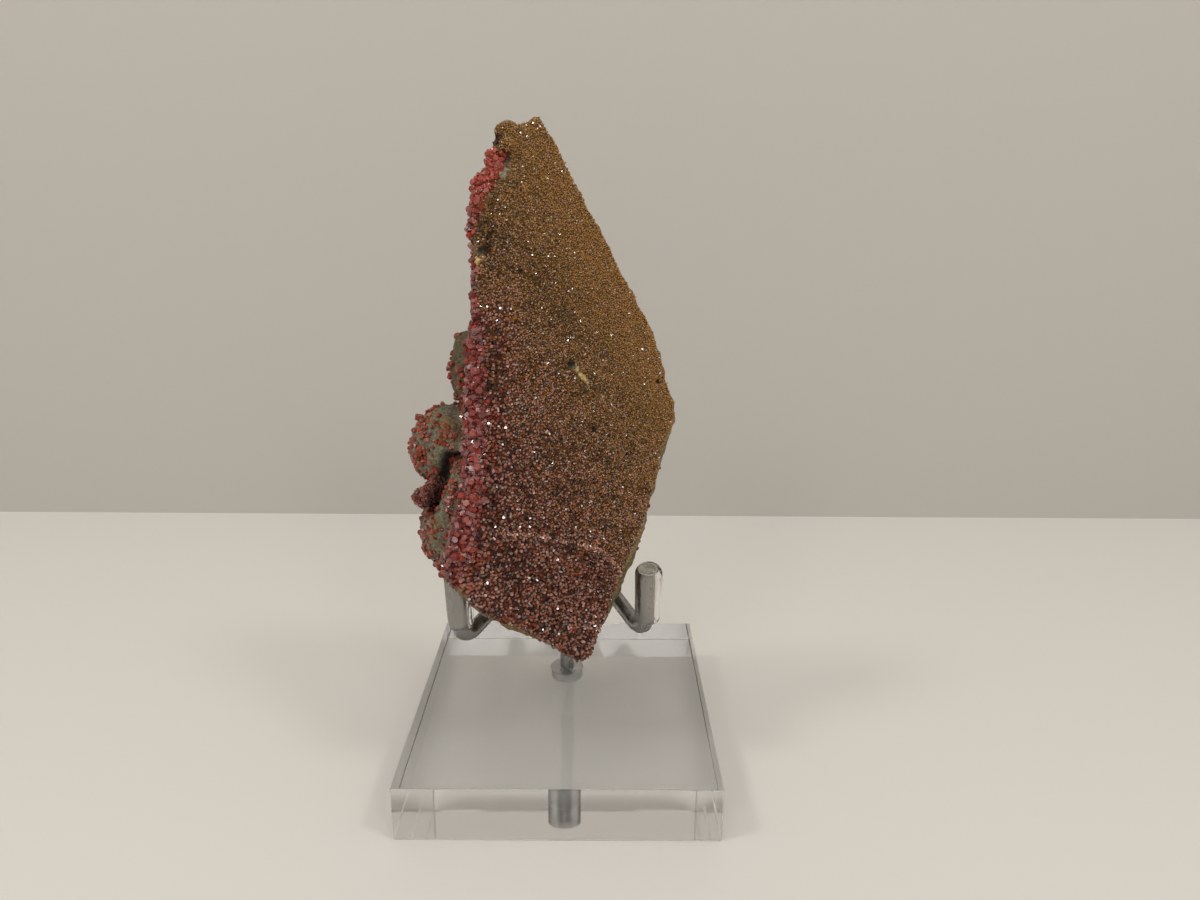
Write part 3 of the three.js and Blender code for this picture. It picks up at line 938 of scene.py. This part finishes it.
def terracotta_tints(places):
    """Muted brick red, with painted shade in the cleft between the lobes."""
    count = len(places)
    colours = mix(TERRACOTTA, CRYSTAL_RED, 0.6 * rng.uniform(size=count) ** 2)
    colours = mix(colours, TAN_PINK, 0.8 * rng.uniform(size=count) ** 3)
    shade = 1.0 - 0.8 * in_cleft(places)
    return colours * (shade * rng.uniform(0.5, 1.25, count))[:, None]


def flank_share(centres, normals):
    """How thickly crystals grow on the left flank: in groups, around the seam and along the cleft."""
    left = smooth_step(0.0, 0.4, -normals[:, 0]) * (0.3 + 0.7 * smooth_step(0.1, 0.5, -normals[:, 1]))
    away = smooth_step(1.2, 2.4, behind_face(centres)) * (centres[:, 2] > 38.0) * (centres[:, 2] < 96.0)
    lobes = 1.0 - 0.93 * smooth_step(61.0, 66.0, centres[:, 2])
    grouped = smooth_step(0.12, 0.32, fractal(centres, 2.0, 3, 2.2)) * (0.45 + 0.55 * (centres[:, 2] > 51.0))
    grouped = np.maximum(grouped, 1.0 - smooth_step(1.2, 2.4, distance_to_line(centres, SEAM_LINE[1:])))
    beside = distance_to_line(centres[:, [0, 2]], CLEFT_LINE + [-1.3, -0.9])
    grouped = np.maximum(grouped, (centres[:, 1] < -6.0) * bell(beside, 0.8))
    shoulder = 1.0 - smooth_step(3.6, 4.6, distance_to_line(centres, LOBE_SHOULDER[:, :3]))
    share = left * away * lobes * (0.03 + grouped)
    return share * (1.0 - 0.6 * in_cleft(centres)) * (1.0 - 0.88 * shoulder)


def flank_mesh(surface):
    """Scattered crystals, single and in small groups, on the left flank and its lobes."""
    places, normals = surface.scatter(flank_share(surface.centres, surface.normals), FLANK_PLACES)
    size = 0.6 + 0.6 * rng.uniform(size=len(places)) ** 2.0
    places, normals, size = thinned(places, normals, size, 0.7)
    axes = tilted(normals, 0.7)
    halves = size * rng.uniform(0.3, 0.55, len(size))
    gloss = (rng.uniform(size=len(size)) < 0.25).astype(float)
    centres = places + axes * (halves * 0.25)[:, None]
    return crystals("flank", centres, axes, size * 0.48, halves, terracotta_tints(centres), gloss, True)


def seam_mesh(surface):
    """Dark red crystals crowded in the cleft between the two lower lobes."""
    places, normals = surface.scatter(np.ones(len(surface.area)), SEAM_PLACES)
    size = 0.35 + 0.6 * rng.uniform(size=len(places)) ** 2.0
    places, normals, size = thinned(places, normals, size, 0.65)
    gloss = (rng.uniform(size=len(size)) < 0.4).astype(float)
    tints = terracotta_tints(places) * 0.65
    return crystals("seam", places, tilted(normals, 0.6), size * 0.48, size * 0.5, tints, gloss, True)


def crust_core(node, name, tint):
    """The grown-together body of a crust, under its crystals."""
    mesh = remeshed([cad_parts[node].data], name, CRUST_FACE, 6)
    set_tint(mesh, np.tile(tint, (len(mesh.vertices), 1)))
    return mesh


def ring(centre, side, other, radius, sides):
    angles = np.arange(sides) * 2.0 * math.pi / sides
    return centre + radius * (np.outer(np.cos(angles), side) + np.outer(np.sin(angles), other))


def swept(name, path, radius, sides, end_rings=()):
    """A round wire along a path. end_rings are shares of the radius and heights, on its last end."""
    path = np.asarray(path, float)
    radii = np.broadcast_to(radius, len(path))
    tangents = unit(np.gradient(path, axis=0))
    side = unit(np.cross(tangents[0], [0.31, 0.77, 0.55]))
    points = []
    for centre, tangent, reach in zip(path, tangents, radii):
        side = unit(side - tangent * (side @ tangent))
        points.append(ring(centre, side, np.cross(tangent, side), reach, sides))
    for share, height in end_rings:
        centre = path[-1] + tangents[-1] * height
        points.append(ring(centre, side, np.cross(tangents[-1], side), radii[-1] * share, sides))
    return smoothed(mesh_from(name, np.concatenate(points), prism_faces(len(points), sides)), 40.0)


def turned(name, profile, sides, origin, axis):
    """A closed shape turned from (radius, height) points that start and end on the axis."""
    axis = unit(np.asarray(axis, float))
    side = unit(np.cross([0.0, 1.0, 0.0], axis))
    other = np.cross(axis, side)
    origin = np.asarray(origin, float)
    points = [origin + axis * profile[0][1]]
    for radius, height in profile[1:-1]:
        points.extend(ring(origin + axis * height, side, other, radius, sides))
    points.append(origin + axis * profile[-1][1])
    last = len(points) - 1
    low = last - sides
    faces = [[0, 1 + (k + 1) % sides, 1 + k] for k in range(sides)]
    faces += band_faces(len(profile) - 2, sides, 1)
    faces += [[low + k, low + (k + 1) % sides, last] for k in range(sides)]
    return smoothed(mesh_from(name, points, faces), 40.0)


def prong_direction():
    return unit(np.array([0.0, -PRONG_LEAN, 1.0]))


def prong_end(side):
    return np.array(ARM_CORNERS[side]) + prong_direction() * PRONG_LENGTH


def arm_path(side):
    """From inside the joint at the post, down to the round bend and up the prong."""
    corner = np.array(ARM_CORNERS[side])
    fork = np.array([POST_X, POST_Y, FORK_HEIGHT])
    along = unit(corner - fork)
    up = prong_direction()
    half_turn = math.acos(along @ up) / 2.0
    reach = BEND_RADIUS * math.tan(half_turn)
    centre = corner + unit(up - along) * BEND_RADIUS / math.cos(half_turn)
    start, end = corner - along * reach, corner + up * reach
    spoke, last_spoke = start - centre, end - centre
    turn = 2.0 * half_turn
    bend = [
        centre + (spoke * math.sin(turn * (1.0 - t)) + last_spoke * math.sin(turn * t)) / math.sin(turn)
        for t in np.linspace(0.0, 1.0, 25)
    ]
    root = fork + along * WIRE_RADIUS * 0.6
    straight = [root + (start - root) * t for t in np.linspace(0.0, 1.0, 12)[:-1]]
    prong = [end + (prong_end(side) - end) * t for t in np.linspace(0.0, 1.0, 8)[1:]]
    return straight + bend + prong


def turning_marks():
    """Fine grooves turned in a wire end."""
    rings = [(0.96, 0.03)]
    for share in np.linspace(0.8, 0.2, 4):
        rings += [(share, 0.05), (share - 0.04, -0.2), (share - 0.08, 0.05)]
    return rings


def cap_profile():
    """Outline of a domed sleeve, from the inner end down the bore and up the outside."""
    rim = CAP_END - CAP_LENGTH
    reach, drop = CAP_DOME
    dome = [
        (CAP_RADIUS - reach * (1.0 - math.cos(a)), CAP_END - drop * (1.0 - math.sin(a)))
        for a in np.linspace(0.0, math.pi / 2.0, 14)
    ]
    inside = [(0.0, -0.02), (CAP_BORE * 0.93, -0.02), (CAP_BORE, -0.3)]
    mouth = [(CAP_BORE, rim + 1.6), (CAP_BORE + 0.05, rim + 0.25)]
    lip = [
        (1.55 + 0.5 * math.sin(a), rim + 0.55 * (1.0 - math.cos(a)))
        for a in np.linspace(-0.3, math.pi / 2.0, 8)
    ]
    lip.append((2.12, rim + 3.5))
    return inside + mouth + lip + dome + [(0.0, CAP_END)]


def base_mesh(side, top):
    """The clear block with the hole for the post."""
    bpy.ops.mesh.primitive_cube_add(size=1.0)
    block = bpy.context.active_object
    block.data.transform(Matrix.Diagonal((side * MM, side * MM, top * MM, 1.0)))
    block.data.transform(Matrix.Translation((0.0, 0.0, top * MM / 2.0)))
    bevel = block.modifiers.new("Bevel", "BEVEL")
    bevel.width = BASE_BEVEL * MM
    bevel.segments = 2
    floor, mouth = top - HOLE_DEPTH, top + 2.0
    hole_profile = [(0.0, floor), (HOLE_RADIUS, floor), (HOLE_RADIUS, mouth), (0.0, mouth)]
    hole = link_mesh("hole", turned("hole", hole_profile, 64, (POST_X, POST_Y, 0.0), (0, 0, 1)))
    cut = block.modifiers.new("Hole", "BOOLEAN")
    cut.operation = "DIFFERENCE"
    cut.object = hole
    cut.solver = "EXACT"
    mesh = applied(block)
    for piece in (block, hole):
        bpy.data.objects.remove(piece)
    mesh.name = "base"
    return smoothed(mesh, 8.0)


def cement_mesh(top):
    """The hazy cement that fills the hole around the post's foot and stands up around it as a bead."""
    plug = HOLE_RADIUS + CEMENT_REACH
    floor = top - HOLE_DEPTH - CEMENT_REACH
    rim = top + 0.02
    profile = [(0.0, floor), (plug, floor), (plug, rim), (BEAD_RADIUS, rim)]
    profile += [
        (WIRE_RADIUS + (BEAD_RADIUS - WIRE_RADIUS) * math.cos(a), rim + BEAD_HEIGHT * math.sin(a))
        for a in np.linspace(0.15, math.pi / 2.0, 8)
    ]
    profile.append((0.0, rim + BEAD_HEIGHT))
    return turned("cement", profile, 64, (POST_X, POST_Y, 0.0), (0, 0, 1))


def solder_mesh():
    """The lump of solder that joins the arms to the post."""
    bulge = [
        (SOLDER_RADIUS * math.sin(a) ** 0.7, -SOLDER_REACH * math.cos(a))
        for a in np.linspace(0.15, math.pi - 0.15, 18)
    ]
    profile = [(0.0, -SOLDER_REACH), *bulge, (0.0, SOLDER_REACH)]
    mesh = turned("solder", profile, 40, (POST_X, POST_Y, FORK_HEIGHT - 0.3), (0, 0, 1))
    points = vertex_places(mesh)
    lumps = 0.22 * fractal(points, 1.6, 3, 4.0)
    set_places(mesh, points + vertex_normals(mesh) * lumps[:, None])
    return mesh


def add_piece(name, mesh, material, slot, *replaced):
    finish_piece(link_mesh(name, mesh, material), slot, *replaced)


def add_wire(name, path, sides, steel, cut_steel, replaced):
    """A wire along a path, whose last end is cut to a bright face with grooves, their walls keeping the
    darker drawn steel as painted shade.
    """
    rings = turning_marks()
    wire = link_mesh(name, swept(name, path, WIRE_RADIUS, sides, rings), steel)
    wire.data.materials.append(cut_steel)
    end_faces = list(wire.data.polygons)[-sides * len(rings) - 1:]
    # Groove walls keep the darker steel: painted shade in the grooves
    for face in end_faces:
        face.material_index = int(face.normal.dot(end_faces[-1].normal) > 0.8)
    finish_piece(wire, "steel", replaced)


def finish_piece(piece, slot, *replaced):
    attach(piece, "root")
    if replaced:
        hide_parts(*replaced)


def build_specimen():
    stone, front = sculpted_stone()
    add_piece("stone", stone, stone_material(), "matrix", "matrix")
    druse = druse_material()
    surface = Surface(stone, front)
    for name, mesh in druse_meshes(surface).items():
        add_piece(name, mesh, druse, "druse")
    red = crystal_material()
    add_piece("ridge", ridge_mesh(surface), red, "vanadinite", "vanadinite_ridge")
    seam_core = crust_core("vanadinite_seam", "seam_core", CRYSTAL_DARK * 0.5)
    seam = joined_mesh("seam", [seam_core, seam_mesh(Surface(seam_core))], red)
    finish_piece(seam, "vanadinite", "vanadinite_seam")
    add_piece("flank", flank_mesh(surface), red, "vanadinite")


def build_stand():
    steel = steel_material()
    cut_steel = cut_steel_material()
    vinyl = vinyl_material()
    low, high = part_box("stand_base")
    side = (high.x - low.x) / MM
    top = side * BASE_RATIO
    add_piece("base", base_mesh(side, top), acrylic_material(), "acrylic", "stand_base")
    add_piece("cement", cement_mesh(top), cement_material(), "acrylic")
    foot = top - HOLE_DEPTH + 0.3
    post_path = [(POST_X, POST_Y, z) for z in np.linspace(foot, POST_TOP, 12)]
    add_wire("post_rod", post_path, 48, steel, cut_steel, "post")
    for side in ARM_CORNERS:
        add_wire(f"wire_{side}", arm_path(side), 40, steel, cut_steel, f"arm_{side}")
        middle = prong_end(side) + np.array([CAP_SHIFT, 0.0, 0.0])
        sleeve = turned(f"sleeve_{side}", cap_profile(), 56, middle, prong_direction())
        add_piece(f"sleeve_{side}", sleeve, vinyl, "vinyl", f"cap_{side}")
    sleeve = turned("sleeve_back", cap_profile(), 56, (POST_X, POST_Y, POST_TOP), (0, 0, 1))
    add_piece("sleeve_back", sleeve, vinyl, "vinyl", "cap_back")
    add_piece("solder", solder_mesh(), steel, "steel")


def build_camera():
    data = bpy.data.cameras.new("camera")
    data.lens = CAMERA_LENS
    data.sensor_width = SENSOR_WIDTH
    data.clip_start = 0.005
    camera = new_object("camera", data)
    camera.rotation_mode = "QUATERNION"
    turn = Matrix.Rotation(-CAMERA_YAW, 4, "Z") @ Matrix.Rotation(math.pi / 2.0 - CAMERA_PITCH, 4, "X")
    turn = turn @ Matrix.Rotation(CAMERA_ROLL, 4, "Z")
    camera.matrix_world = Matrix.Translation(Vector(CAMERA_PLACE) * MM) @ turn
    bpy.context.scene.camera = camera


def stage_plane(name, corners, material):
    link_mesh(name, mesh_from(name, corners, [[0, 1, 2, 3]]), material)


def build_stage():
    x, z = TABLE_REACH, -TABLE_GAP
    stage_plane("table", [(-x, -x, z), (x, -x, z), (x, x, z), (-x, x, z)], table_material())
    x, y = WALL_REACH, WALL_DISTANCE
    stage_plane("wall", [(-x, y, 0.0), (x, y, 0.0), (x, y, x), (-x, y, x)], wall_material())


def area_light(name, place, width, height, power):
    data = bpy.data.lights.new(name, "AREA")
    data.shape = "RECTANGLE"
    data.size = width * MM
    data.size_y = height * MM
    data.energy = power
    data.color = LAMP_COLOUR
    direction = (Vector(LAMP_TARGET) - Vector(place)) * MM
    turn = direction.to_track_quat("-Z", "Y").to_matrix().to_4x4()
    new_object(name, data).matrix_world = Matrix.Translation(Vector(place) * MM) @ turn


def build_light():
    world = bpy.data.worlds.new("room")
    bpy.context.scene.world = world
    world.use_nodes = True
    tree = world.node_tree
    background = tree.nodes["Background"]
    direction = tree.nodes.new("ShaderNodeTexCoord")
    split = tree.nodes.new("ShaderNodeSeparateXYZ")
    tree.links.new(direction.outputs["Generated"], split.inputs["Vector"])
    overhead = ranged(tree, split.outputs["Z"], 0.26, 0.86, 0.0, 0.8)
    darker_front = ranged(tree, split.outputs["Y"], 0.4, 1.0, -0.9, -0.2)
    product = tree.nodes.new("ShaderNodeMath")
    product.operation = "MULTIPLY"
    tree.links.new(overhead, product.inputs[0])
    tree.links.new(darker_front, product.inputs[1])
    tree.links.new(product.outputs["Value"], background.inputs["Strength"])
    background.inputs["Color"].default_value = (1.0, 0.975, 0.94, 1.0)
    for number, lamp in enumerate(LAMPS):
        area_light(f"lamp_{number}", *lamp)
    bpy.context.scene.view_settings.view_transform = "Standard"


build_camera()
build_stage()
build_light()
build_stand()
build_specimen()
